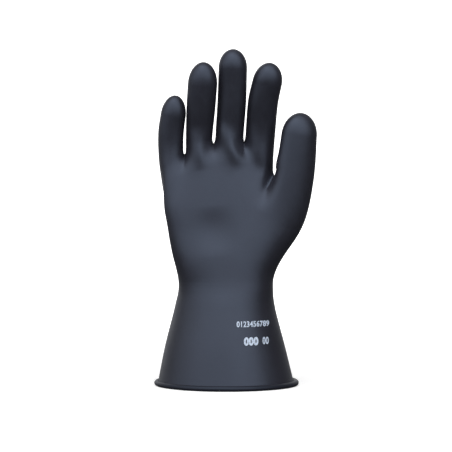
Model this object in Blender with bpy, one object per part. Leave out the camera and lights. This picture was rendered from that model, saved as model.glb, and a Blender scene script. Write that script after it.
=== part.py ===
"""Electrical insulating glove, right hand: a dipped rubber film with a rolled cuff bead.

The glove stands on its cuff with the fingers up (+Z), the palm facing -Y and the thumb at +X.
The film is one hollow wall. It is divided into nodes where the glove flexes: at the wrist, at
the root of each digit and at the middle of each digit. All sizes are in metres.
"""
import math
from collections import namedtuple

import bmesh
import bpy
from mathutils import Matrix, Vector

MM = 0.001

# Driving dimensions
FILM = 1.0 * MM                 # wall of a class 0 glove
GAP = 0.3 * MM                  # clearance between neighbouring nodes
CUFF_AXIS_X = -7.5 * MM         # the thumb reaches further right than the cuff reaches left
BEAD_RADIUS = 2.3 * MM
BEAD_OUTSET = 1.4 * MM          # the bead's centre line lies this far outside the cuff wall
BEAD_FLAT = 0.25 * MM           # depth of the flat that the bead stands on
CUFF_EDGE_Z = 4.5 * MM          # the wall rolls into the bead below this
WRIST_Z = 80 * MM               # height of the wrist's flexing axis
WRIST_COLLAR_RADIUS = 41 * MM   # cuff and hand meet on a cylinder about that axis
CROWN_X = 12 * MM               # the webs between the fingers are highest here
CROWN_FALL = 4.7                # 1/m, how fast the webs drop towards the little finger

BODY_SIDES = 36
DIGIT_SIDES = 18
SPAN_RINGS = 2                  # rings between two stations of the body
TIP_RINGS = (0, 32, 58, 77)     # degrees round a fingertip's dome

# The body's outline, in millimetres from the cuff's axis:
# height, left edge, right edge, palm side, back of the hand, squareness of the section.
Outline = namedtuple("Outline", "z left right front back power")
BODY = (
    Outline(-4, -58.6, 58.8, -55.4, 55.4, 2.0),
    Outline(33, -51.5, 49.8, -48.0, 48.0, 2.0),
    Outline(66, -43.3, 41.4, -39.5, 39.5, 2.0),
    Outline(85, -40.0, 39.8, -34.5, 35.0, 2.1),
    Outline(108, -44.6, 42.0, -30.8, 33.5, 2.4),
    Outline(134, -48.5, 43.0, -26.5, 29.0, 2.6),
    Outline(160, -51.8, 41.5, -22.5, 22.5, 2.5),
    Outline(180, -53.4, 40.2, -18.8, 16.5, 2.5),
    Outline(193, -54.2, 39.4, -15.0, 11.5, 2.5),
    Outline(200, -52.5, 37.5, -10.0, 5.5, 2.4),
    Outline(203.4, -48.0, 34.0, -5.0, 0.5, 2.2),
)

# Each digit's centre line and section, in millimetres from the cuff's axis, root to tip:
# across, depth, height, half width, half depth, turn of the section in degrees.
# A dome closes the last one, and dome is its length over the half width.
Station = namedtuple("Station", "x y z half_width half_depth turn")
Digit = namedtuple("Digit", "name stations dome root_at mid_at flex_turn")
DIGITS = (
    Digit("little_finger", (
        Station(-37.5, 0.0, 138, 8.0, 8.5, 0),
        Station(-41.6, -1.0, 160, 9.6, 9.5, 0),
        Station(-45.2, -1.5, 180, 10.3, 10.4, 0),
        Station(-46.5, -2.5, 197, 10.6, 10.6, 0),
        Station(-46.3, -5.5, 213, 10.8, 10.4, 0),
        Station(-44.4, -9.0, 226.6, 10.6, 10.1, 0),
    ), 1.65, 0.60, 0.88, 0),
    Digit("ring_finger", (
        Station(-20.5, 0.0, 138, 9.0, 9.0, 0),
        Station(-21.5, -1.0, 165, 10.4, 10.5, 0),
        Station(-22.6, -2.3, 188, 11.0, 11.8, 0),
        Station(-22.7, -3.0, 208, 11.2, 11.8, 0),
        Station(-21.1, -11.0, 232, 12.1, 11.8, 0),
        Station(-19.6, -15.0, 252, 12.3, 11.4, 0),
    ), 1.55, 0.57, 0.84, 0),
    Digit("middle_finger", (
        Station(1.5, 0.0, 138, 9.5, 9.5, 0),
        Station(1.8, -1.0, 165, 10.8, 10.8, 0),
        Station(2.4, -2.5, 190, 11.6, 12.2, 0),
        Station(3.0, -4.0, 211, 11.9, 12.2, 0),
        Station(4.9, -10.5, 239, 12.1, 12.0, 0),
        Station(5.7, -17.0, 266, 11.9, 11.4, 0),
    ), 1.32, 0.562, 0.83, 0),
    Digit("index_finger", (
        Station(24.5, 0.0, 138, 9.5, 9.5, 0),
        Station(26.0, -1.0, 165, 11.2, 11.0, 0),
        Station(27.5, -2.3, 190, 12.2, 12.3, 0),
        Station(28.9, -4.0, 211, 12.5, 12.3, 0),
        Station(30.9, -11.0, 237, 12.7, 12.1, 0),
        Station(34.3, -15.0, 253.5, 12.4, 11.4, 0),
    ), 1.38, 0.562, 0.81, 0),
    Digit("thumb", (
        Station(10.0, -2.0, 92, 14.0, 15.0, 0),
        Station(30.2, -6.0, 118, 19.6, 17.2, 0),
        Station(46.4, -9.5, 143, 20.8, 13.7, 13),
        Station(57.0, -11.5, 175, 18.3, 11.3, 26),
        Station(61.2, -13.0, 209.4, 15.6, 11.4, 22),
    ), 1.25, 0.795, 0.955, 8),
)


def smooth_curve(points, t):
    """The point at t, from 0 to 1, on a Catmull-Rom curve through points."""
    spans = len(points) - 1
    position = min(max(t, 0.0), 1.0) * spans
    i = min(int(position), spans - 1)
    f = position - i
    before = points[max(i - 1, 0)]
    after = points[min(i + 2, spans)]
    result = []
    for a, b, c, d in zip(before, points[i], points[i + 1], after):
        result.append(0.5 * (2 * b + (c - a) * f + (2 * a - 5 * b + 4 * c - d) * f * f
                             + (3 * b - a - 3 * c + d) * f ** 3))
    return result


def rounded_power(value, power):
    return math.copysign(abs(value) ** (2 / power), value)


def loft(name, rings, base=None, tip=None):
    """A closed skin over rings of points, listed upwards and anticlockwise seen from above.

    A ring's end is closed by a fan to the point base or tip, or to its own centre.
    """
    mesh = bmesh.new()
    rows = [[mesh.verts.new(point) for point in ring] for ring in rings]
    sides = len(rings[0])
    for low, high in zip(rows, rows[1:]):
        for j in range(sides):
            k = (j + 1) % sides
            mesh.faces.new((low[j], low[k], high[k], high[j]))
    base_point = mesh.verts.new(base or sum(rings[0], Vector()) / sides)
    tip_point = mesh.verts.new(tip or sum(rings[-1], Vector()) / sides)
    for j in range(sides):
        k = (j + 1) % sides
        mesh.faces.new((rows[0][k], rows[0][j], base_point))
        mesh.faces.new((rows[-1][j], rows[-1][k], tip_point))
    return object_from(mesh, name)


def object_from(mesh, name):
    data = bpy.data.meshes.new(name)
    mesh.to_mesh(data)
    mesh.free()
    shape = bpy.data.objects.new(name, data)
    bpy.context.scene.collection.objects.link(shape)
    return shape


def body_solid(name, inset):
    """The cuff, wrist and palm as one solid, its surface moved inwards by inset."""
    rings = []
    last = len(BODY) - 1
    for step in range(last * SPAN_RINGS + 1):
        row = Outline(*smooth_curve(BODY, step / (last * SPAN_RINGS)))
        centre_x = (row.left + row.right) / 2 * MM
        centre_y = (row.front + row.back) / 2 * MM
        half_x = max((row.right - row.left) / 2 * MM - inset, 0.5 * MM)
        half_y = max((row.back - row.front) / 2 * MM - inset, 0.5 * MM)
        top_share = min(max((row.z - 150) / 40, 0), 1)
        ring = []
        for j in range(BODY_SIDES):
            angle = math.tau * j / BODY_SIDES
            x = centre_x + half_x * rounded_power(math.cos(angle), row.power)
            y = centre_y + half_y * rounded_power(math.sin(angle), row.power)
            fall = CROWN_FALL * (x - CROWN_X) ** 2 * top_share
            lid = inset * min(max((row.z - 190) / 13, 0), 1)
            mouth = 4 * inset if step == 0 else 0
            ring.append(Vector((x, y, row.z * MM - fall - lid - mouth)))
        rings.append(ring)
    return loft(name, rings)


def digit_frame(digit, t):
    """Centre, direction along the digit, its section's two unit vectors, and half sizes."""
    here = Station(*smooth_curve(digit.stations, t))
    along, across, back = level_frame(digit, t)
    turn = math.radians(here.turn)
    wide_way = across * math.cos(turn) + back * math.sin(turn)
    deep_way = back * math.cos(turn) - across * math.sin(turn)
    return (Vector(here[:3]) * MM, along, wide_way, deep_way,
            here.half_width * MM, here.half_depth * MM)


def level_frame(digit, t):
    """Unit vectors along the digit, level across it, and backwards."""
    ahead = Station(*smooth_curve(digit.stations, min(t + 0.01, 1)))
    behind = Station(*smooth_curve(digit.stations, max(t - 0.01, 0)))
    along = (Vector(ahead[:3]) - Vector(behind[:3])).normalized()
    across = (Vector((1, 0, 0)) - along * along.x).normalized()
    return along, across, along.cross(across)


def ellipse_ring(centre, across, back, half_width, half_depth):
    ring = []
    for j in range(DIGIT_SIDES):
        angle = math.tau * j / DIGIT_SIDES
        ring.append(centre + across * half_width * math.cos(angle)
                    + back * half_depth * math.sin(angle))
    return ring


def digit_solid(digit, name, inset):
    """A digit from inside the palm to its tip, its surface moved inwards by inset."""
    rings = []
    steps = 2 * (len(digit.stations) - 1)
    for step in range(steps):
        centre, _, across, back, wide, deep = digit_frame(digit, step / steps)
        rings.append(ellipse_ring(centre, across, back, wide - inset, deep - inset))
    centre, along, across, back, wide, deep = digit_frame(digit, 1)
    reach = wide * digit.dome - inset
    for degrees in TIP_RINGS:
        lift, share = math.sin(math.radians(degrees)), math.cos(math.radians(degrees))
        rings.append(ellipse_ring(centre + along * reach * lift, across, back,
                                  (wide - inset) * share, (deep - inset) * share))
    return loft(name, rings, tip=centre + along * reach)


def flex(digit, t):
    """Where a digit flexes at t: a point and the direction of the axis, and the way along.

    The axis touches the digit's palm side, so that bending opens a gap at the back only.
    """
    centre, along, wide_way, deep_way, wide, deep = digit_frame(digit, t)
    _, across, back = level_frame(digit, t)
    turn = math.radians(digit.flex_turn)
    forward = -back * math.cos(turn) - across * math.sin(turn)
    reach = math.hypot(wide * forward.dot(wide_way), deep * forward.dot(deep_way))
    return centre + forward * reach, along.cross(forward), along


def half_space(name, point, normal, size=0.5):
    """A large box whose one face passes through point and which lies on the normal's side."""
    mesh = bmesh.new()
    bmesh.ops.create_cube(mesh, size=size)
    bmesh.ops.translate(mesh, verts=mesh.verts, vec=(0, 0, size / 2))
    box = object_from(mesh, name)
    turn = Vector(normal).to_track_quat("Z", "Y").to_matrix().to_4x4()
    box.data.transform(Matrix.Translation(point) @ turn)
    return box


def copy_of(shape):
    twin = shape.copy()
    twin.data = shape.data.copy()
    bpy.context.scene.collection.objects.link(twin)
    return twin


def combine(shape, operation, *others):
    """Applies exact Booleans of shape with others in turn and removes the others."""
    for other in others:
        modifier = shape.modifiers.new(operation.lower(), "BOOLEAN")
        modifier.operation = operation
        modifier.solver = "EXACT"
        modifier.object = other
        depsgraph = bpy.context.evaluated_depsgraph_get()
        mesh = bpy.data.meshes.new_from_object(shape.evaluated_get(depsgraph))
        shape.modifiers.clear()
        shape.data = mesh
        bpy.data.objects.remove(other)
    return shape


def rubber(name, colour, roughness):
    material = bpy.data.materials.new(name)
    material.use_nodes = True
    shader = material.node_tree.nodes["Principled BSDF"]
    shader.inputs["Base Color"].default_value = (*colour, 1)
    shader.inputs["Roughness"].default_value = roughness
    shader.inputs["Metallic"].default_value = 0
    return material


def finish(shape, name, colour, roughness, collection, pivot):
    """Names a piece, gives it its material and puts its origin on pivot."""
    shape.name = name
    shape.data.name = name
    shape.data.materials.clear()
    shape.data.materials.append(rubber(name, colour, roughness))
    mesh = bmesh.new()
    mesh.from_mesh(shape.data)
    bmesh.ops.remove_doubles(mesh, verts=mesh.verts, dist=0.02 * MM)
    bmesh.ops.dissolve_degenerate(mesh, edges=mesh.edges, dist=0.01 * MM)
    bmesh.ops.triangulate(mesh, faces=mesh.faces)
    mesh.to_mesh(shape.data)
    mesh.free()
    shape.data.shade_smooth()
    shape.data.set_sharp_from_angle(angle=math.radians(40))
    shape.data.transform(Matrix.Translation(-pivot))
    shape.location = pivot
    for holder in list(shape.users_collection):
        holder.objects.unlink(shape)
    collection.objects.link(shape)
    return shape


def bead_solid():
    """The cuff's rolled edge: a round cord on the cuff's outline, with a flat underneath."""
    row = Outline(*smooth_curve(BODY, (CUFF_EDGE_Z / MM + 4) / 37 / (len(BODY) - 1)))
    half_x = (row.right - row.left) / 2 * MM + BEAD_OUTSET
    half_y = (row.back - row.front) / 2 * MM + BEAD_OUTSET
    curve = bpy.data.curves.new("bead_path", "CURVE")
    curve.dimensions = "3D"
    curve.bevel_depth = BEAD_RADIUS
    curve.bevel_resolution = 2
    spline = curve.splines.new("POLY")
    count = 48
    spline.points.add(count - 1)
    for j, point in enumerate(spline.points):
        angle = math.tau * j / count
        point.co = (half_x * math.cos(angle), half_y * math.sin(angle),
                    BEAD_RADIUS - BEAD_FLAT, 1)
    spline.use_cyclic_u = True
    path = bpy.data.objects.new("bead_path", curve)
    bpy.context.scene.collection.objects.link(path)
    depsgraph = bpy.context.evaluated_depsgraph_get()
    mesh = bpy.data.meshes.new_from_object(path.evaluated_get(depsgraph))
    bead = bpy.data.objects.new("bead", mesh)
    bpy.context.scene.collection.objects.link(bead)
    bpy.data.objects.remove(path)
    return combine(bead, "DIFFERENCE", half_space("floor", (0, 0, 0), (0, 0, -1)))


def wrist_zone(radius):
    """Everything above the wrist's axis and outside a cylinder of this radius about it."""
    mesh = bmesh.new()
    turn = Matrix.Translation((0, 0, WRIST_Z)) @ Matrix.Rotation(math.pi / 2, 4, "Y")
    bmesh.ops.create_cone(mesh, cap_ends=True, segments=72, radius1=radius, radius2=radius,
                          depth=0.4, matrix=turn)
    zone = half_space("wrist_zone", (0, 0, WRIST_Z), (0, 0, 1))
    return combine(zone, "DIFFERENCE", object_from(mesh, "wrist_collar"))


def build_digits(collection, parent_offset):
    """Two stalls for each digit, and the stubs that stay on the hand."""
    stubs, hollows = [], []
    for digit in DIGITS:
        outer = digit_solid(digit, "outer", 0)
        inner = digit_solid(digit, "inner", FILM)
        root, _, root_way = flex(digit, digit.root_at)
        mid, _, mid_way = flex(digit, digit.mid_at)
        stub = combine(copy_of(outer), "DIFFERENCE",
                       half_space("above", root - root_way * GAP / 2, root_way))
        stubs.append(stub)
        hollows.append(copy_of(inner))
        wall = combine(outer, "DIFFERENCE", inner)
        near = combine(copy_of(wall), "DIFFERENCE",
                       half_space("below", root + root_way * GAP / 2, -root_way),
                       half_space("above", mid - mid_way * GAP / 2, mid_way))
        far = combine(wall, "DIFFERENCE",
                      half_space("below", mid + mid_way * GAP / 2, -mid_way))
        finish(near, digit.name + "_base", (0.035, 0.038, 0.050), 0.55, collection, root)
        finish(far, digit.name + "_tip", (0.040, 0.043, 0.056), 0.50, collection, mid)
        for piece in (near, far):
            piece.parent = parent_offset
    return stubs, hollows


def build_hand(stubs, hollows, collection, parent_offset):
    """The cuff's wall and the hand: the body with the digits' stubs, hollowed and parted."""
    outer = combine(body_solid("outer", 0), "UNION", *stubs)
    inner = combine(body_solid("inner", FILM), "UNION", *hollows)
    wall = combine(outer, "DIFFERENCE", inner)
    hand = combine(copy_of(wall), "INTERSECT", wrist_zone(WRIST_COLLAR_RADIUS + GAP / 2))
    cuff = combine(wall, "DIFFERENCE", wrist_zone(WRIST_COLLAR_RADIUS - GAP / 2),
                   half_space("below", (0, 0, CUFF_EDGE_Z), (0, 0, -1)))
    finish(hand, "hand_shell", (0.038, 0.042, 0.054), 0.55, collection,
           Vector((0, 0, WRIST_Z)))
    finish(cuff, "gauntlet_cuff", (0.042, 0.046, 0.058), 0.55, collection, Vector())
    for piece in (hand, cuff):
        piece.parent = parent_offset


def main():
    for shape in list(bpy.data.objects):
        bpy.data.objects.remove(shape)
    parts = bpy.data.collections.new("electrical_insulating_glove")
    bpy.context.scene.collection.children.link(parts)
    cuff_axis = bpy.data.objects.new("cuff_axis", None)
    cuff_axis.location = (CUFF_AXIS_X, 0, 0)
    parts.objects.link(cuff_axis)

    stubs, hollows = build_digits(parts, cuff_axis)
    build_hand(stubs, hollows, parts, cuff_axis)
    bead = finish(bead_solid(), "rolled_cuff_bead", (0.030, 0.033, 0.043), 0.50, parts, Vector())
    bead.parent = cuff_axis


main()
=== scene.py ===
"""The looks of an electrical insulating glove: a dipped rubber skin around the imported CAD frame.

The skin is the zero surface of one field: the cuff and palm as a lofted body, with the five
digits joined to it smoothly. Cuff and digits are meshed in rows and columns, the palm between
them by surface nets, and all of them meet on common planes. Lengths are in millimetres, measured
from the cuff's axis, until a mesh is made in metres in the frame.
"""
import math

import bmesh
import bpy
import numpy as np
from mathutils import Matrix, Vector


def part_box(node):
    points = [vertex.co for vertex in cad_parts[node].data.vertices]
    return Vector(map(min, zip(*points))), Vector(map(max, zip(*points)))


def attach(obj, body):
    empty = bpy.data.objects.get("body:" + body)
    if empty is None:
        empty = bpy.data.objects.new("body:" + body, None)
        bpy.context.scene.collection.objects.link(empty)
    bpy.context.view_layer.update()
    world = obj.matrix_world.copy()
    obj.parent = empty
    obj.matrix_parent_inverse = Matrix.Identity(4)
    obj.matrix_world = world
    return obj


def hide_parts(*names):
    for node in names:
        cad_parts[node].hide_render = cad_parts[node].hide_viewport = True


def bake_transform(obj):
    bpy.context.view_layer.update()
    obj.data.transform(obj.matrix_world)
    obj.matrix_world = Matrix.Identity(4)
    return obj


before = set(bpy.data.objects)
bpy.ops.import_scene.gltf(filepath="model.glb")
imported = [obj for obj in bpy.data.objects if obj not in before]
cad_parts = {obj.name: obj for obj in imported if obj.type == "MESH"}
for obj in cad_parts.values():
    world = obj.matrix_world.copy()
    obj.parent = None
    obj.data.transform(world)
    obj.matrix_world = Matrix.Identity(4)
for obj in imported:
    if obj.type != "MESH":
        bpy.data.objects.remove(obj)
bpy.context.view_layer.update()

MM = 0.001
BEAD_LOW, BEAD_HIGH = (np.array(corner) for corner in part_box("rolled_cuff_bead"))
CUFF_AXIS_X = (BEAD_LOW[0] + BEAD_HIGH[0]) / 2

FILM = 1.0                      # thickness of the rubber
FILM_FOOT = 3.3                 # height of the film's lower end, inside the bead
BEAD_RADIUS = 2.35
BEAD_OUTSET = 1.5               # the bead's centre line lies this far outside the cuff wall
BEAD_FLAT = 0.25                # how much of the bead is pressed flat where it stands
PALM_FLOOR = 108.0              # cuff and palm skins meet here
CROWN_X = 12.0                  # the webs between the fingers are highest here
CROWN_FALL = 0.0047             # 1/mm, how fast the webs drop to either side
CROWN_RISE = 145.0, 195.0       # heights between which that drop grows in
BODY_TOP, CROWN_HEIGHT = 186.0, 17.6   # the palm rounds off from here, over this height
FINGER_BLEND, THUMB_BLEND = 6.0, 12.0  # how softly the digits join the palm
THUMB_LEAD, THUMB_NEAR = 2.0, (-8.0, 4.0)      # the thumb's join grows in as it gets nearest
THUMB_BLEND_END = 175.0, 195.0  # heights between which the thumb's join fades into a finger's
WEB_SHARP, WEB_SOFT = 0.05, 5.0        # how softly digits join above a web, and more below it
WEB_ZONE = -22.0, -3.0          # heights from the webs' crown, where one turns into the other
FAR = 30.0                      # the field's value away from a digit
DIGIT_MARGIN = 24.0             # how far round its centre line a digit's field is worked out

GRID = 1.1                      # step of the palm's mesh, and the box that it is made in
PALM_LOW, PALM_HIGH = (-62.0, -48.0, PALM_FLOOR - 4), (82.0, 38.0, 209.0)
CUT_MARGIN = 2.5                # faces up to this far below a cut may be split by it
CUT_REACH = 60.0                # and up to this far from it, a digit's faces are removed
# Columns go round a piece, and rows along it.
CUFF_COLUMNS, CUFF_ROWS, BEAD_SIDES = 208, 86, 28
DIGIT_COLUMNS, BASE_ROWS, TIP_ROWS, DOME_ROWS = 72, 22, 30, 14

# The cuff and palm: height, left, right, palm side, back of the hand, squareness.
BODY = (
    (-4, -58.6, 58.8, -55.4, 55.4, 2.0),
    (33, -51.5, 49.8, -48.0, 48.0, 2.0),
    (66, -43.3, 41.4, -39.5, 39.5, 2.0),
    (85, -40.0, 39.8, -34.0, 35.0, 2.4),
    (108, -43.9, 41.0, -30.5, 33.5, 3.0),
    (134, -45.9, 42.0, -26.0, 29.0, 2.8),
    (160, -48.8, 39.0, -21.8, 22.5, 2.6),
    (180, -48.0, 33.0, -18.3, 16.5, 2.6),
    (193, -46.5, 31.0, -16.0, 13.0, 2.5),
    (204, -45.0, 30.0, -14.0, 10.0, 2.4),
)

# The digits, root to tip: across, depth, height, half width, half depth, turn about its length
# in degrees. Then the length of the tip's dome over its half width, how softly the digit joins
# the palm, and the heights where its skin starts, bends at the root, changes piece and bends
# again. The thumb is last.
DIGITS = {
    "little_finger": dict(stations=(
        (-37.5, 0.0, 138, 8.0, 8.5, 0),
        (-41.4, -1.0, 160, 9.4, 9.5, 0),
        (-45.2, -1.5, 180, 10.2, 10.4, 0),
        (-46.5, -2.5, 197, 10.6, 10.6, 0),
        (-46.3, -5.0, 213, 10.8, 10.4, 0),
        (-44.4, -8.0, 226.6, 10.6, 10.1, 0)), dome=1.65, blend=FINGER_BLEND,
        start=194.6, root=(195.0, 209.0), change=210.0, middle=(211.0, 226.0)),
    "ring_finger": dict(stations=(
        (-20.5, 0.0, 138, 9.0, 9.0, 0),
        (-21.5, -1.0, 165, 10.4, 10.5, 0),
        (-22.6, -2.3, 188, 11.0, 11.8, 0),
        (-22.7, -3.0, 208, 11.2, 11.8, 0),
        (-21.1, -11.0, 232, 12.1, 11.8, 0),
        (-19.6, -17.2, 252, 12.3, 11.4, 0)), dome=1.55, blend=FINGER_BLEND,
        start=202.6, root=(203.0, 220.0), change=221.5, middle=(223.0, 245.0)),
    "middle_finger": dict(stations=(
        (1.5, 0.0, 138, 9.5, 9.5, 0),
        (1.8, -1.0, 165, 10.8, 10.8, 0),
        (2.4, -2.5, 190, 11.6, 12.2, 0),
        (3.0, -4.0, 211, 11.9, 12.2, 0),
        (4.9, -10.5, 239, 12.1, 12.0, 0),
        (5.7, -17.0, 266, 11.9, 11.4, 0)), dome=1.32, blend=FINGER_BLEND,
        start=204.6, root=(205.0, 224.0), change=226.0, middle=(228.0, 252.0)),
    "index_finger": dict(stations=(
        (24.5, 0.0, 138, 9.5, 9.5, 0),
        (26.0, -1.0, 165, 11.2, 11.0, 0),
        (27.5, -2.3, 190, 12.2, 12.3, 0),
        (28.9, -4.0, 211, 12.5, 12.3, 0),
        (30.9, -11.8, 237, 12.7, 12.1, 0),
        (34.3, -17.4, 253.5, 12.4, 11.4, 0)), dome=1.38, blend=FINGER_BLEND,
        start=204.6, root=(205.0, 222.0), change=223.5, middle=(225.0, 245.0)),
    "thumb": dict(stations=(
        (10.0, -2.0, 92, 14.0, 15.0, 0),
        (30.2, -6.0, 118, 18.9, 17.0, 0),
        (46.4, -9.5, 143, 20.6, 13.5, 13),
        (57.0, -11.5, 175, 18.2, 11.2, 26),
        (61.2, -13.0, 209.4, 15.6, 11.4, 22)), dome=1.25, blend=THUMB_BLEND,
        start=179.5, root=(180.0, 193.0), change=194.0, middle=(195.0, 208.0)),
}

# Shallow folds and hollows on the palm side, each along a line: from across, from height,
# to across, to height, width, how far the film stands out.
RELIEF = (
    (-12, 152, -8, 108, 14, -2.2),     # the hollow of the palm
    (-49, 206, -45, 88, 12, 4.2),      # heel of the hand, below the little finger
    (43, 190, 28, 146, 6, -1.8),       # valley from the thumb's web
    (-7, 222, 14, 180, 6.5, 3.2),      # slanting fold on the middle finger's root
    (-26, 219, -21, 179, 6.5, 2.7),    # pad on the ring finger's root
    (26, 222, 26, 182, 7, 1.0),        # pad on the index finger's root
    (15, 210, 28, 174, 5, -1.0),       # valley between middle and index finger
    (-36, 108, -34, 70, 7, 0.6),       # soft swell beside the wrist
)
RELIEF_FADE = 3.0, 15.0         # distances in front of the axis between which it grows in


# ---------------------------------------------------------------- the field

def ease(low, high, value):
    """0 below low, 1 above high, smooth between."""
    t = np.clip((value - low) / (high - low), 0, 1)
    return t * t * (3 - 2 * t)


def smooth_rows(rows, per_span):
    """Catmull-Rom rows through the given ones."""
    rows = np.asarray(rows, float)
    padded = np.vstack((rows[:1], rows, rows[-1:]))
    result = []
    for i in range(len(rows) - 1):
        a, b, c, d = padded[i:i + 4]
        for f in np.arange(per_span) / per_span:
            result.append(0.5 * (2 * b + (c - a) * f + (2 * a - 5 * b + 4 * c - d) * f ** 2
                                 + (3 * b - a - 3 * c + d) * f ** 3))
    return np.vstack((result, rows[-1:]))


def unit(vectors):
    """The vectors at length 1."""
    return vectors / np.linalg.norm(vectors, axis=-1, keepdims=True)


def soft_min(a, b, width):
    """The lesser of two fields, rounded where they are within width of each other."""
    h = np.clip(width - np.abs(a - b), 0, None) / width
    return np.minimum(a, b) - h * h * width / 4


BODY_ROWS = smooth_rows(BODY, per_span=12)


def body_field(p):
    """The cuff and palm: below 0 inside, about millimetres."""
    x, y, z = p.T
    fall = CROWN_FALL * (x - CROWN_X) ** 2
    level = z + fall * ease(*CROWN_RISE, z + fall)
    left, right, front, back, power = (np.interp(level, BODY_ROWS[:, 0], column)
                                       for column in BODY_ROWS.T[1:])
    half_x, half_y = (right - left) / 2, (back - front) / 2
    across = np.abs(x - (left + right) / 2) / half_x
    deep = np.abs(y - (front + back) / 2) / half_y
    lift = np.clip(level - BODY_TOP, 0, None) / CROWN_HEIGHT
    rho = (across ** power + deep ** power + lift ** power) ** (1 / power)
    return (rho - 1) * np.minimum(half_x, half_y)


def relief(p):
    """The folds and hollows, in millimetres outwards."""
    x, y, z = p.T
    height = np.zeros(len(p))
    for x0, z0, x1, z1, width, size in RELIEF:
        along = np.array((x1 - x0, z1 - z0), float)
        length = along @ along
        t = ((x - x0) * along[0] + (z - z0) * along[1]) / length
        away = ((x - x0) * along[1] - (z - z0) * along[0]) ** 2 / length
        taper = np.clip(1 - (2 * t - 1) ** 2, 0, 1) ** 2
        height += size * taper * np.exp(-away / width ** 2)
    return height * ease(*RELIEF_FADE, -y)


class Digit:
    """A finger or the thumb: an elliptical tube on a curved centre line, with a domed end."""

    def __init__(self, name, stations, dome, blend, start, root, change, middle):
        rows = smooth_rows(stations, per_span=16)
        self.name, self.dome, self.blend = name, dome, blend
        self.start, self.root, self.change, self.middle = start, root, change, middle
        self.centre, self.half = rows[:, :3], rows[:, 3:5]
        self.along = unit(np.gradient(self.centre, axis=0))
        sideways = np.array((1.0, 0, 0))
        level = unit(sideways - self.along * self.along[:, :1])
        deep = np.cross(self.along, level)
        turn = np.radians(rows[:, 5:])
        self.across = level * np.cos(turn) + deep * np.sin(turn)
        self.back = deep * np.cos(turn) - level * np.sin(turn)
        self.spacing = np.linalg.norm(np.gradient(self.centre, axis=0), axis=1)
        self.low = self.centre.min(0) - DIGIT_MARGIN
        self.high = self.centre.max(0) + DIGIT_MARGIN

    def at(self, index):
        """Centre, along, across, back and half sizes at a fractional row."""
        rows = np.arange(len(self.centre))
        table = np.hstack((self.centre, self.along, self.across, self.back, self.half))
        got = np.stack([np.interp(index, rows, column) for column in table.T], axis=-1)
        return (got[..., 0:3], unit(got[..., 3:6]), unit(got[..., 6:9]), unit(got[..., 9:12]),
                got[..., 12:14])

    def row_at_height(self, height):
        """The fractional row at a height."""
        return np.interp(height, self.centre[:, 2], np.arange(len(self.centre)))

    def field(self, p):
        """The tube: below 0 inside, about millimetres."""
        result = np.full(len(p), FAR)
        near = np.all((p > self.low) & (p < self.high), axis=1)
        q = p[near]
        if not len(q):
            return result
        distance = (self.centre ** 2).sum(1)[None] - 2 * q @ self.centre.T
        i = distance.argmin(1)
        ahead = ((q - self.centre[i]) * self.along[i]).sum(1) / self.spacing[i]
        centre, along, across, back, half = self.at(np.clip(i + ahead, 0, len(self.centre) - 1))
        r = q - centre
        a = (r * across).sum(1) / half[:, 0]
        b = (r * back).sum(1) / half[:, 1]
        c = (r * along).sum(1) / half[:, 0] / self.dome
        result[near] = (np.sqrt(a * a + b * b + c * c) - 1) * half.min(1)
        return result


DIGIT_LIST = [Digit(name, **facts) for name, facts in DIGITS.items()]


def field(p, only=None):
    """The whole glove, or the body with one digit only."""
    body = body_field(p)
    if only is not None:
        return soft_min(body, only.field(p), only.blend) - relief(p)
    x, _, z = p.T
    crown = BODY_TOP + CROWN_HEIGHT - CROWN_FALL * (x - CROWN_X) ** 2
    between = WEB_SHARP + WEB_SOFT * (1 - ease(*WEB_ZONE, z - crown))
    digits = np.full(len(p), FAR)
    for digit in DIGIT_LIST:
        tube = digit.field(p)
        digits = soft_min(digits, tube, between)
    # The last tube is the thumb's.
    thumb = ease(*THUMB_NEAR, digits - tube + THUMB_LEAD) * (1 - ease(*THUMB_BLEND_END, z))
    blend = FINGER_BLEND + (THUMB_BLEND - FINGER_BLEND) * thumb
    return soft_min(body, digits, blend) - relief(p)


def gradient(p, only=None, step=0.15):
    """The field's slope in each direction."""
    result = np.empty_like(p)
    for axis in range(3):
        shift = np.zeros(3)
        shift[axis] = step
        result[:, axis] = (field(p + shift, only) - field(p - shift, only)) / (2 * step)
    return result


def settle(p, only=None, rounds=3):
    """Moves points onto the surface, along the field's slope."""
    for _ in range(rounds):
        slope = gradient(p, only)
        p = p - field(p, only)[:, None] * slope / (slope ** 2).sum(1)[:, None]
    return p


def reach(origin, direction, guess, only=None, rounds=7):
    """How far the surface is from origin along direction, by Newton's method."""
    probe, least_slope, most_move = 0.05, 0.2, 3
    distance = guess.copy()
    for _ in range(rounds):
        here = origin + direction * distance[:, None]
        value = field(here, only)
        slope = (field(here + direction * probe, only) - value) / probe
        distance -= np.clip(value / np.maximum(slope, least_slope), -most_move, most_move)
    return distance


# ---------------------------------------------------------------- meshes

def in_frame(points):
    """Millimetres from the cuff's axis to metres in the frame."""
    return points * MM + np.array((CUFF_AXIS_X, 0, 0))


def add_object(name, data):
    """A new object in the scene."""
    thing = bpy.data.objects.new(name, data)
    bpy.context.scene.collection.objects.link(thing)
    return thing


def make_piece(name, points, faces, normals):
    """A mesh in the frame, in metres, with the surface's own normals."""
    mesh = bpy.data.meshes.new(name)
    mesh.from_pydata(in_frame(points).tolist(), [], [list(map(int, face)) for face in faces])
    mesh.update()
    mesh.shade_smooth()
    mesh.normals_split_custom_set_from_vertices(normals.tolist())
    return add_object(name, mesh)


def tube_faces(rows, columns, start=0):
    """Quads over a grid of points that closes on itself round each row."""
    index = start + np.arange(rows * columns).reshape(rows, columns)
    turned = np.roll(index, -1, axis=1)
    return np.stack((index[:-1], turned[:-1], turned[1:], index[1:]), axis=-1).reshape(-1, 4)


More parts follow.
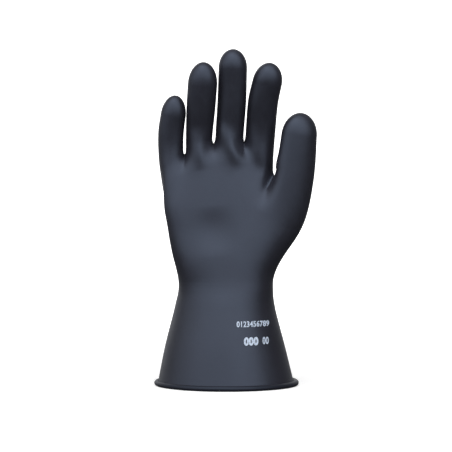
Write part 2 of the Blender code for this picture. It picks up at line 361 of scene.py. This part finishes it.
def wall(name, outer, outer_normals, tip=None, tip_normal=None):
    """A hollow piece from a grid of outer points: the film's inside follows at its thickness."""
    rows, columns = outer.shape[:2]
    inner = outer - outer_normals * FILM
    points = [outer.reshape(-1, 3), inner.reshape(-1, 3)]
    normals = [outer_normals.reshape(-1, 3), -outer_normals.reshape(-1, 3)]
    count = rows * columns
    faces = [*tube_faces(rows, columns), *tube_faces(rows, columns, count)[:, ::-1]]
    ring = np.arange(columns)
    turned = np.roll(ring, -1)
    for a, b in zip(ring, turned):
        faces.append([b, a, a + count, b + count])
    last = (rows - 1) * columns
    if tip is None:
        for a, b in zip(ring + last, turned + last):
            faces.append([a, b, b + count, a + count])
    else:
        points += [[tip], [tip - tip_normal * FILM]]
        normals += [[tip_normal], [-tip_normal]]
        for a, b in zip(ring + last, turned + last):
            faces.append([a, b, 2 * count])
            faces.append([b + count, a + count, 2 * count + 1])
    return make_piece(name, np.vstack(points), faces, np.vstack(normals))


def digit_rows(digit, low, high, count):
    """Rings of surface points on planes across the digit, between two heights."""
    rows = digit.row_at_height(np.linspace(low, high, count))
    centre, _, across, back, half = digit.at(rows)
    angle = np.arange(DIGIT_COLUMNS) * math.tau / DIGIT_COLUMNS
    direction = (across[:, None] * np.cos(angle)[None, :, None]
                 + back[:, None] * np.sin(angle)[None, :, None])
    origin = np.broadcast_to(centre[:, None], direction.shape)
    guess = np.broadcast_to(half.max(1)[:, None], direction.shape[:2])
    return surface_grid(origin, direction, guess, digit)


def surface_grid(origin, direction, guess, only=None):
    """Where a grid of rays meets the surface, and its normals there."""
    shape = direction.shape
    flat_origin, flat_way = origin.reshape(-1, 3), direction.reshape(-1, 3)
    distance = reach(flat_origin, flat_way, guess.reshape(-1), only)
    points = flat_origin + flat_way * distance[:, None]
    normals = unit(gradient(points, only))
    return points.reshape(shape), normals.reshape(shape)


def dome_rows(digit, count):
    """Rings round the tip's dome with their normals, and its pole with its own."""
    centre, along, across, back, half = digit.at(np.array([len(digit.centre) - 1.0]))
    angle = np.arange(DIGIT_COLUMNS) * math.tau / DIGIT_COLUMNS
    lift = np.radians(np.linspace(0, 90, count + 1)[1:-1])
    ring = across * np.cos(angle)[:, None] + back * np.sin(angle)[:, None]
    direction = (ring[None] * np.cos(lift)[:, None, None]
                 + along[0] * np.sin(lift)[:, None, None])
    origin = np.broadcast_to(centre[0], direction.shape)
    guess = np.full(direction.shape[:2], half.max())
    points, normals = surface_grid(origin, direction, guess, digit)
    pole = reach(centre, along, half[:, 0], digit)
    return points, normals, (centre + along * pole[:, None])[0], along[0]


def build_digit(digit):
    """Two pieces: from the palm to just past the root's bend, and from there to the tip."""
    points, normals = digit_rows(digit, digit.start, digit.change, BASE_ROWS)
    base = wall(digit.name + "_base_skin", points, normals)
    low_points, low_normals = digit_rows(digit, digit.change, digit.centre[-1, 2], TIP_ROWS)
    dome_points, dome_normals, pole, pole_normal = dome_rows(digit, DOME_ROWS)
    tip = wall(digit.name + "_tip_skin", np.vstack((low_points, dome_points)),
               np.vstack((low_normals, dome_normals)), pole, pole_normal)
    return base, tip


def cuff_ring():
    """The angles of the cuff's columns, and their directions away from its axis."""
    angle = np.arange(CUFF_COLUMNS) * math.tau / CUFF_COLUMNS
    return angle, np.stack((np.cos(angle), np.sin(angle), np.zeros(CUFF_COLUMNS)), axis=-1)


def cuff_guess(heights):
    """About how far the cuff's wall is from its axis."""
    return np.interp(heights, (0, 80, 110), (57, 40, 42))


def cuff_rows():
    """The cuff's and wrist's outside, from inside the bead up to the palm."""
    bead_top = 6
    heights = np.concatenate((np.linspace(FILM_FOOT, bead_top, 4)[:-1],
                              np.linspace(bead_top, PALM_FLOOR, CUFF_ROWS)))
    direction = np.broadcast_to(cuff_ring()[1], (len(heights), CUFF_COLUMNS, 3))
    origin = np.zeros(direction.shape)
    origin[..., 2] = heights[:, None]
    guess = np.broadcast_to(cuff_guess(heights)[:, None], direction.shape[:2])
    return surface_grid(origin, direction, guess)


def build_cuff():
    """The cuff's film: down the outside, round its foot inside the bead, and up the inside."""
    outer, normals = cuff_rows()
    outer, normals = outer[::-1], normals[::-1]
    points = np.concatenate((outer, (outer - normals * FILM)[::-1]))
    every = np.concatenate((normals, -normals[::-1]))
    last = (len(points) - 1) * CUFF_COLUMNS
    faces = [*tube_faces(len(points), CUFF_COLUMNS)[:, ::-1]]
    ring = np.arange(CUFF_COLUMNS)
    for a, b in zip(ring, np.roll(ring, -1)):
        faces.append([a, b, b + last, a + last])
    return make_piece("cuff_skin", points.reshape(-1, 3), faces, every.reshape(-1, 3))


def build_bead():
    """The rolled edge: a ring of uneven thickness, a little flattened where it stands."""
    angle, way = cuff_ring()
    foot = way * reach(np.zeros(way.shape) + (0, 0, FILM_FOOT), way,
                       np.full(CUFF_COLUMNS, cuff_guess(0)))[:, None]
    # It is a little thicker and further out on the right, and slightly wavy all round.
    right = (1 + np.cos(angle)) / 2
    radius = BEAD_RADIUS * (0.94 + 0.1 * right + 0.02 * np.sin(3 * angle + 1)
                            + 0.012 * np.sin(11 * angle) + 0.01 * np.sin(23 * angle + 2))
    middle = foot + way * (BEAD_OUTSET - 0.3 + 0.7 * right)[:, None]
    middle[:, 2] = BEAD_RADIUS - BEAD_FLAT
    points, normals = [], []
    for turn in np.arange(BEAD_SIDES) * math.tau / BEAD_SIDES:
        point = middle + way * (radius * math.cos(turn))[:, None]
        point[:, 2] = np.maximum(point[:, 2] + radius * math.sin(turn), 0)
        points.append(point)
        normal = way * math.cos(turn)
        normal[:, 2] = math.sin(turn)
        normals.append(normal)
    faces = tube_faces(BEAD_SIDES + 1, CUFF_COLUMNS) % (BEAD_SIDES * CUFF_COLUMNS)
    return make_piece("bead_skin", np.vstack(points), faces, np.vstack(normals))


def surface_nets(values, origin, step):
    """Points and quads of the zero surface of values on a grid: a point in each cell that the
    surface crosses, at the mean of the cell's crossed edges, and a quad round each such edge."""
    shape = np.array(values.shape) - 1
    total, count = np.zeros((*shape, 3)), np.zeros(tuple(shape))
    corners = [(0, 0, 0), (1, 0, 0), (0, 1, 0), (0, 0, 1), (1, 1, 0), (1, 0, 1), (0, 1, 1),
               (1, 1, 1)]

    def corner(c):
        return values[c[0]:c[0] + shape[0], c[1]:c[1] + shape[1], c[2]:c[2] + shape[2]]

    for a in corners:
        for axis in range(3):
            if a[axis]:
                continue
            b = list(a)
            b[axis] = 1
            low, high = corner(a), corner(b)
            cross = (low < 0) != (high < 0)
            share = np.where(cross, low / np.where(cross, low - high, 1), 0)
            for k in range(3):
                total[..., k] += np.where(cross, a[k] + (share if k == axis else 0), 0)
            count += cross
    active = count > 0
    index = np.full(tuple(shape), -1)
    index[active] = np.arange(active.sum())
    cells = np.argwhere(active)
    points = origin + (cells + total[active] / count[active][:, None]) * step
    quads = []
    for axis in range(3):
        u, v = (axis + 1) % 3, (axis + 2) % 3
        low = np.take(values, range(values.shape[axis] - 1), axis)
        high = np.take(values, range(1, values.shape[axis]), axis)
        for rising in (True, False):
            cross = (low < 0) & (high >= 0) if rising else (low >= 0) & (high < 0)
            at = np.argwhere(cross)
            at = at[(at[:, u] > 0) & (at[:, v] > 0) & (at[:, u] < shape[u])
                    & (at[:, v] < shape[v])]
            around = []
            for du, dv in ((1, 1), (0, 1), (0, 0), (1, 0)):
                cell = at.copy()
                cell[:, u] -= du
                cell[:, v] -= dv
                around.append(index[tuple(cell.T)])
            quad = np.stack(around, axis=-1)
            quads.append(quad if rising else quad[:, ::-1])
    return points, np.concatenate(quads)


def relax(points, quads, rounds=4):
    """Evens out the mesh along the surface."""
    edges = np.concatenate([quads[:, [k, (k + 1) % 4]] for k in range(4)])
    edges = np.concatenate((edges, edges[:, ::-1]))
    degree = np.bincount(edges[:, 0], minlength=len(points))[:, None]
    for _ in range(rounds):
        near = np.zeros_like(points)
        for k in range(3):
            near[:, k] = np.bincount(edges[:, 0], points[edges[:, 1], k], len(points))
        points = settle(0.5 * points + 0.5 * near / degree, rounds=1)
    return points


def palm_grid():
    """The field on a grid round the palm, and the grid's first corner."""
    low, high = np.array(PALM_LOW), np.array(PALM_HIGH)
    counts = np.ceil((high - low) / GRID).astype(int) + 1
    axes = [low[k] + GRID * np.arange(counts[k]) for k in range(3)]
    values = np.empty(tuple(counts))
    for i, x in enumerate(axes[0]):
        y, z = np.meshgrid(axes[1], axes[2], indexing="ij")
        p = np.stack((np.full(y.size, x), y.ravel(), z.ravel()), axis=-1)
        values[i] = field(p).reshape(y.shape)
    return values, low


def owner(points):
    """The digit whose tube each point is nearest to."""
    return np.argmin([digit.field(points) for digit in DIGIT_LIST], axis=0)


def build_palm():
    """The palm's film, open at the wrist and at the five digits."""
    values, origin = palm_grid()
    points, quads = surface_nets(values, origin, GRID)
    points = settle(relax(points, quads))
    mesh = bmesh.new()
    verts = [mesh.verts.new(p) for p in points]
    for quad in quads:
        mesh.faces.new([verts[i] for i in quad])
    cut_off(mesh, np.array((0, 0, PALM_FLOOR)), np.array((0, 0, -1.0)))
    for number, digit in enumerate(DIGIT_LIST):
        centre, along, *_ = digit.at(digit.row_at_height(digit.start))
        cut_off(mesh, centre, along, number)
    bmesh.ops.remove_doubles(mesh, verts=mesh.verts, dist=0.02)
    bmesh.ops.delete(mesh, geom=[v for v in mesh.verts if not v.link_faces], context="VERTS")
    mesh.verts.index_update()
    outer = np.array([v.co for v in mesh.verts])
    normals = unit(gradient(outer))
    count = len(outer)
    faces = [[v.index for v in face.verts] for face in mesh.faces]
    rims = [[loop.vert.index, loop.link_loop_next.vert.index]
            for edge in mesh.edges if len(edge.link_loops) == 1 for loop in edge.link_loops]
    mesh.free()
    shell = faces + [[i + count for i in reversed(face)] for face in faces]
    shell += [[b, a, a + count, b + count] for a, b in rims]
    return make_piece("palm_skin", np.vstack((outer, outer - normals * FILM)), shell,
                      np.vstack((normals, -normals)))


def cut_off(mesh, point, normal, number=None):
    """Cuts the mesh on a plane and removes what is beyond it, on the digit of that number only
    if there is one."""
    def beyond(margin):
        """The faces more than margin past the plane."""
        faces = list(mesh.faces)
        centres = np.array([face.calc_center_median() for face in faces])
        height = (centres - point) @ normal
        far = height > margin
        if number is not None:
            far &= (owner(centres) == number) & (np.abs(height) < CUT_REACH)
        return [face for face, keep in zip(faces, far) if keep]

    near = beyond(-CUT_MARGIN)
    edges = {edge for face in near for edge in face.edges}
    verts = {vert for face in near for vert in face.verts}
    bmesh.ops.bisect_plane(mesh, geom=near + list(edges) + list(verts), dist=0.01,
                           plane_co=Vector(point), plane_no=Vector(normal))
    bmesh.ops.delete(mesh, geom=beyond(0), context="FACES")


# ---------------------------------------------------------------- stamps

# Text, left, bottom, width, height, how much its strokes are thickened.
STAMPS = {
    "stamp_number": ("0123456789", 8.7, 51.2, 27.0, 4.9, 0.03),
    "stamp_batch": ("000", 14.6, 36.3, 12.0, 6.9, 0.055),
    "stamp_class": ("00", 30.0, 36.9, 5.2, 6.0, 0.03),
}
INK_PROUD, INK_DEEP = 0.05, 0.12       # above the film, and from there down into it


def build_stamp(name, text, left, bottom, width, height, weight):
    """Plain digits laid on the front of the cuff as a thin layer of ink."""
    curve = bpy.data.curves.new(name, "FONT")
    curve.body = text
    curve.offset = weight
    curve.extrude = 0.5
    curve.space_character = 1.06
    curve.resolution_u = 4
    source = add_object(name + "_text", curve)
    bpy.context.view_layer.update()
    mesh = bpy.data.meshes.new_from_object(source)
    bpy.data.objects.remove(source)
    mesh.name = name
    points = np.array([v.co for v in mesh.vertices])
    low, high = points.min(0), points.max(0)
    flat = (points - low) / (high - low)
    x, z = left + flat[:, 0] * width, bottom + flat[:, 1] * height
    origin = np.stack((x, np.zeros(len(x)), z), axis=-1)
    way = np.zeros((len(x), 3)) + (0, -1, 0)
    guess = np.full(len(x), 45.0)
    skin = origin + way * reach(origin, way, guess)[:, None]
    normals = unit(gradient(skin))
    lift = INK_PROUD - (1 - flat[:, 2]) * INK_DEEP
    for vertex, place in zip(mesh.vertices, in_frame(skin + normals * lift[:, None])):
        vertex.co = place
    work = bmesh.new()
    work.from_mesh(mesh)
    bmesh.ops.remove_doubles(work, verts=work.verts, dist=1e-6)
    bmesh.ops.recalc_face_normals(work, faces=work.faces)
    work.to_mesh(mesh)
    work.free()
    return add_object(name, mesh)


# ---------------------------------------------------------------- materials

class Graph:
    """The nodes of a material or world, with short calls for the few kinds used here."""

    def __init__(self, holder, shader="Principled BSDF", place="Object"):
        self.holder = holder
        holder.use_nodes = True
        self.nodes, self.links = holder.node_tree.nodes, holder.node_tree.links
        self.shader = self.nodes[shader]
        self.place = self.nodes.new("ShaderNodeTexCoord").outputs[place]

    def set(self, **values):
        """Numbers and colours on the shader's own sockets."""
        for socket, value in values.items():
            self.shader.inputs[socket.replace("_", " ")].default_value = value

    def noise(self, scale, detail=2.0, stretch=(1, 1, 1)):
        """Noise of a scale in cells a metre."""
        mapping = self.nodes.new("ShaderNodeMapping")
        mapping.inputs["Scale"].default_value = stretch
        self.links.new(self.place, mapping.inputs["Vector"])
        node = self.nodes.new("ShaderNodeTexNoise")
        node.inputs["Scale"].default_value = scale
        node.inputs["Detail"].default_value = detail
        self.links.new(mapping.outputs["Vector"], node.inputs["Vector"])
        return node.outputs["Fac"]

    def colours(self, value, low, high, at=(0.3, 0.7)):
        """A colour from low to high as value goes from at[0] to at[1]."""
        node = self.nodes.new("ShaderNodeValToRGB")
        for element, place, tint in zip(node.color_ramp.elements, at, (low, high)):
            element.position, element.color = place, (*tint, 1)
        self.links.new(value, node.inputs["Fac"])
        return node.outputs["Color"]

    def ramp(self, value, low, high, at=(0.3, 0.7), shape="LINEAR"):
        """A number from low to high as value goes from at[0] to at[1]."""
        node = self.nodes.new("ShaderNodeMapRange")
        node.interpolation_type = shape
        for socket, number in zip(("From Min", "From Max", "To Min", "To Max"),
                                  (*at, low, high)):
            node.inputs[socket].default_value = number
        self.links.new(value, node.inputs["Value"])
        return node.outputs["Result"]

    def measure(self, operation, way=(0, 0, 0)):
        """The place's LENGTH, or its DOT_PRODUCT with a direction."""
        node = self.nodes.new("ShaderNodeVectorMath")
        node.operation = operation
        node.inputs[1].default_value = way
        self.links.new(self.place, node.inputs[0])
        return node.outputs["Value"]

    def math(self, operation, a, b):
        """One sum or product of numbers or other nodes' values."""
        node = self.nodes.new("ShaderNodeMath")
        node.operation = operation
        for socket, value in zip(node.inputs, (a, b)):
            if isinstance(value, (int, float)):
                socket.default_value = value
            else:
                self.links.new(value, socket)
        return node.outputs["Value"]

    def bump(self, height, distance, strength, under=None):
        """A bump of a height in metres, over another one."""
        node = self.nodes.new("ShaderNodeBump")
        node.inputs["Distance"].default_value = distance
        node.inputs["Strength"].default_value = strength
        self.links.new(height, node.inputs["Height"])
        if under is not None:
            self.links.new(under, node.inputs["Normal"])
        return node.outputs["Normal"]

    def wire(self, **sources):
        """Other nodes' values to the shader's sockets."""
        for socket, source in sources.items():
            self.links.new(source, self.shader.inputs[socket.replace("_", " ")])


def rubber(name, dark, pale, roughness, index=1.66):
    """Satin dipped rubber: cloudy colour and gloss, faint runs from dipping, a fine grain."""
    g = Graph(bpy.data.materials.new(name))
    g.set(IOR=index, Specular_Tint=(0.56, 0.70, 0.97, 1))
    cloud = g.noise(38, 3.0)
    patch = g.noise(170, 4.0)
    mottle = g.math("ADD", g.math("MULTIPLY", cloud, 0.65), g.math("MULTIPLY", patch, 0.35))
    spread = 0.36, 0.64
    g.wire(Base_Color=g.colours(mottle, dark, pale, spread))
    dust = g.math("ADD", g.math("MULTIPLY", patch, 0.6), g.math("MULTIPLY", cloud, 0.4))
    g.wire(Roughness=g.ramp(dust, roughness - 0.035, roughness + 0.035, spread))
    runs = g.bump(g.noise(46, 1.5, (1.0, 1.0, 0.45)), 0.0009, 0.35)
    skin = g.bump(g.noise(420, 2.0), 0.00012, 0.35, runs)
    g.wire(Normal=g.bump(g.noise(2100, 2.0), 0.00004, 0.4, skin))
    return g.holder


def ink():
    """Pale stamping ink, thinner in places."""
    g = Graph(bpy.data.materials.new("stamping_ink"))
    g.set(IOR=1.45)
    worn = g.noise(900, 3.0)
    g.wire(Base_Color=g.colours(worn, (0.40, 0.47, 0.58), (0.64, 0.74, 0.90), (0.3, 0.55)),
           Roughness=g.ramp(worn, 0.62, 0.5))
    g.wire(Normal=g.bump(g.noise(2600, 2.0), 0.00005, 0.5))
    return g.holder


# ---------------------------------------------------------------- stage

# Metres here, and degrees: azimuth 0 is the camera's side, + its right.
CAMERA_HEIGHT, CAMERA_DISTANCE = 0.1341, 1.298
VIEW_WIDTH = 0.38194            # what the camera takes in at the glove
SENSOR_WIDTH = 36
LAMP = dict(azimuth=-20, elevation=60, distance=1.3, size=(0.9, 0.7), power=1)

# The studio's tent: brightness of the light from each side. Each row is a direction (azimuth,
# elevation), the cosines to it between which the light grows in, and how much it adds.
TENT_FLOOR = 0.06
TENT = (
    ((-18, 0), (-0.10, 0.25), 1.03),
    ((44, 12), (0.80, 0.97), 0.40),
    ((22, 32), (0.70, 0.97), 0.30),
    ((-50, 36), (0.70, 0.97), 0.44),
    ((-95, 25), (0.70, 0.98), -0.40),
    ((-150, 5), (0.40, 0.90), 0.45),
    ((180, 20), (0.50, 0.95), 0.40),
    ((10, 60), (0.72, 0.97), 0.50),
)
TENT_FOOT = -0.20, 0.14         # the tent grows in between these heights (sine)
TENT_TOP, TOP_SHARE = (0.90, 1.00), 0.70       # and dims between these, to this share

# The backdrop's profile: a floor, a quarter circle and a wall.
FLOOR_RADII, CORNER, WALL = (0.6, 1.6), (2.4, 0.8), (3.2, 4.0)


def way_to(azimuth, elevation):
    """The direction of an azimuth and elevation."""
    a, e = math.radians(azimuth), math.radians(elevation)
    return math.sin(a) * math.cos(e), -math.cos(a) * math.cos(e), math.sin(e)


def build_lamp(azimuth, elevation, distance, size, power):
    """An area light aimed at the glove's middle."""
    way = Vector(way_to(azimuth, elevation))
    data = bpy.data.lights.new("key", "AREA")
    data.shape = "RECTANGLE"
    data.size, data.size_y = size
    data.energy = power
    lamp = add_object("key", data)
    lamp.location = Vector((CUFF_AXIS_X, 0, CAMERA_HEIGHT)) + way * distance
    lamp.rotation_euler = (-way).to_track_quat("-Z", "Y").to_euler()


def build_camera():
    """A level camera in front of the palm."""
    data = bpy.data.cameras.new("camera")
    data.sensor_width = SENSOR_WIDTH
    data.lens = SENSOR_WIDTH * CAMERA_DISTANCE / VIEW_WIDTH
    camera = add_object("camera", data)
    camera.location = (CUFF_AXIS_X, -CAMERA_DISTANCE, CAMERA_HEIGHT)
    camera.rotation_euler = (math.pi / 2, 0, 0)
    bpy.context.scene.camera = camera


def build_backdrop():
    """A floor that curves up into a round wall, so that every view has a plain pale ground."""
    centre, bend = CORNER
    profile = [(radius, 0.0) for radius in FLOOR_RADII]
    profile += [(centre + bend * math.sin(a), bend - bend * math.cos(a))
                for a in np.radians(np.linspace(0, 90, 12))]
    profile.append(WALL)
    mesh = bmesh.new()
    sides, rings = 64, []
    for radius, height in profile:
        rings.append([mesh.verts.new((radius * math.cos(a), radius * math.sin(a), height))
                      for a in np.arange(sides) * math.tau / sides])
    mesh.faces.new(rings[0])
    for low, high in zip(rings, rings[1:]):
        for i in range(sides):
            j = (i + 1) % sides
            mesh.faces.new((low[i], low[j], high[j], high[i])).smooth = True
    data = bpy.data.meshes.new("backdrop")
    mesh.to_mesh(data)
    mesh.free()
    backdrop = add_object("backdrop", data)
    g = Graph(bpy.data.materials.new("backdrop_paper_and_glow"))
    # Painted light: the backdrop glows white, weakly (0.45) within 0.3 m of the floor's middle
    # where the glove stands and up to 1.1 from 0.9 m out, so it stays white away from the glove
    # while the real shadow at the glove's foot still shows.
    g.set(Roughness=0.9, Emission_Color=(1, 1, 1, 1))
    g.wire(Base_Color=g.colours(g.noise(3, 2.0), (0.80, 0.80, 0.80), (0.83, 0.83, 0.83)),
           Emission_Strength=g.ramp(g.measure("LENGTH"), 0.45, 1.1, (0.3, 0.9)))
    data.materials.append(g.holder)
    for ray in ("diffuse", "glossy", "shadow"):
        setattr(backdrop, "visible_" + ray, False)


def build_world():
    """The tent, as the world's light."""
    world = bpy.data.worlds.new("studio")
    bpy.context.scene.world = world
    g = Graph(world, "Background", "Generated")

    def grow(way, at, size, start=0):
        """From start to size as the cosine to a direction goes from at[0] to at[1]."""
        return g.ramp(g.measure("DOT_PRODUCT", way), start, size, at, "SMOOTHSTEP")

    total = 0.0
    for direction, at, size in TENT:
        total = g.math("ADD", total, grow(way_to(*direction), at, size))
    total = g.math("MULTIPLY", total, grow((0, 0, 1), TENT_FOOT, 1))
    total = g.math("MULTIPLY", total, grow((0, 0, 1), TENT_TOP, TOP_SHARE, 1))
    g.set(Color=(1, 1, 1, 1))
    g.wire(Strength=g.math("ADD", total, TENT_FLOOR))


def build_stage():
    """Camera, backdrop and light."""
    build_camera()
    build_backdrop()
    build_world()
    build_lamp(**LAMP)
    bpy.context.scene.view_settings.view_transform = "Standard"


# ---------------------------------------------------------------- assembly

def at_height(digit, height):
    """The digit's centre at a height, in the frame."""
    return tuple(in_frame(digit.at(digit.row_at_height(height))[0]))


def finish_piece(piece, material, slot, *nodes):
    """Gives a piece its material, and hides the CAD nodes that it stands for; its slot argument is
    not used.
    """
    piece.data.materials.clear()
    piece.data.materials.append(material)
    if nodes:
        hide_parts(*nodes)


def main():
    """The stage, the skins and the ink."""
    build_stage()
    film = rubber("film_rubber", (0.0185, 0.0178, 0.0235), (0.0225, 0.0215, 0.0290), 0.42)
    rolled = rubber("bead_rubber", (0.012, 0.0125, 0.018), (0.0165, 0.017, 0.0245), 0.48, 1.5)

    cuff = build_cuff()
    finish_piece(cuff, film, "film_rubber", "gauntlet_cuff")
    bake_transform(cuff)
    bead = build_bead()
    finish_piece(bead, rolled, "bead_rubber", "rolled_cuff_bead")
    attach(bead, "cuff")
    palm = build_palm()
    finish_piece(palm, film, "film_rubber", "hand_shell")
    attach(palm, "hand")

    for digit in DIGIT_LIST:
        base, tip = build_digit(digit)
        low, high = digit.name + "_base", digit.name + "_tip"
        finish_piece(base, film, "film_rubber", low)
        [at_height(digit, h) for h in digit.root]
        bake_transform(base)
        finish_piece(tip, film, "film_rubber", high)
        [at_height(digit, h) for h in digit.middle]
        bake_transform(tip)

    white = ink()
    for name, facts in STAMPS.items():
        stamp = build_stamp(name, *facts)
        finish_piece(stamp, white, "film_rubber")
        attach(stamp, "cuff")


main()
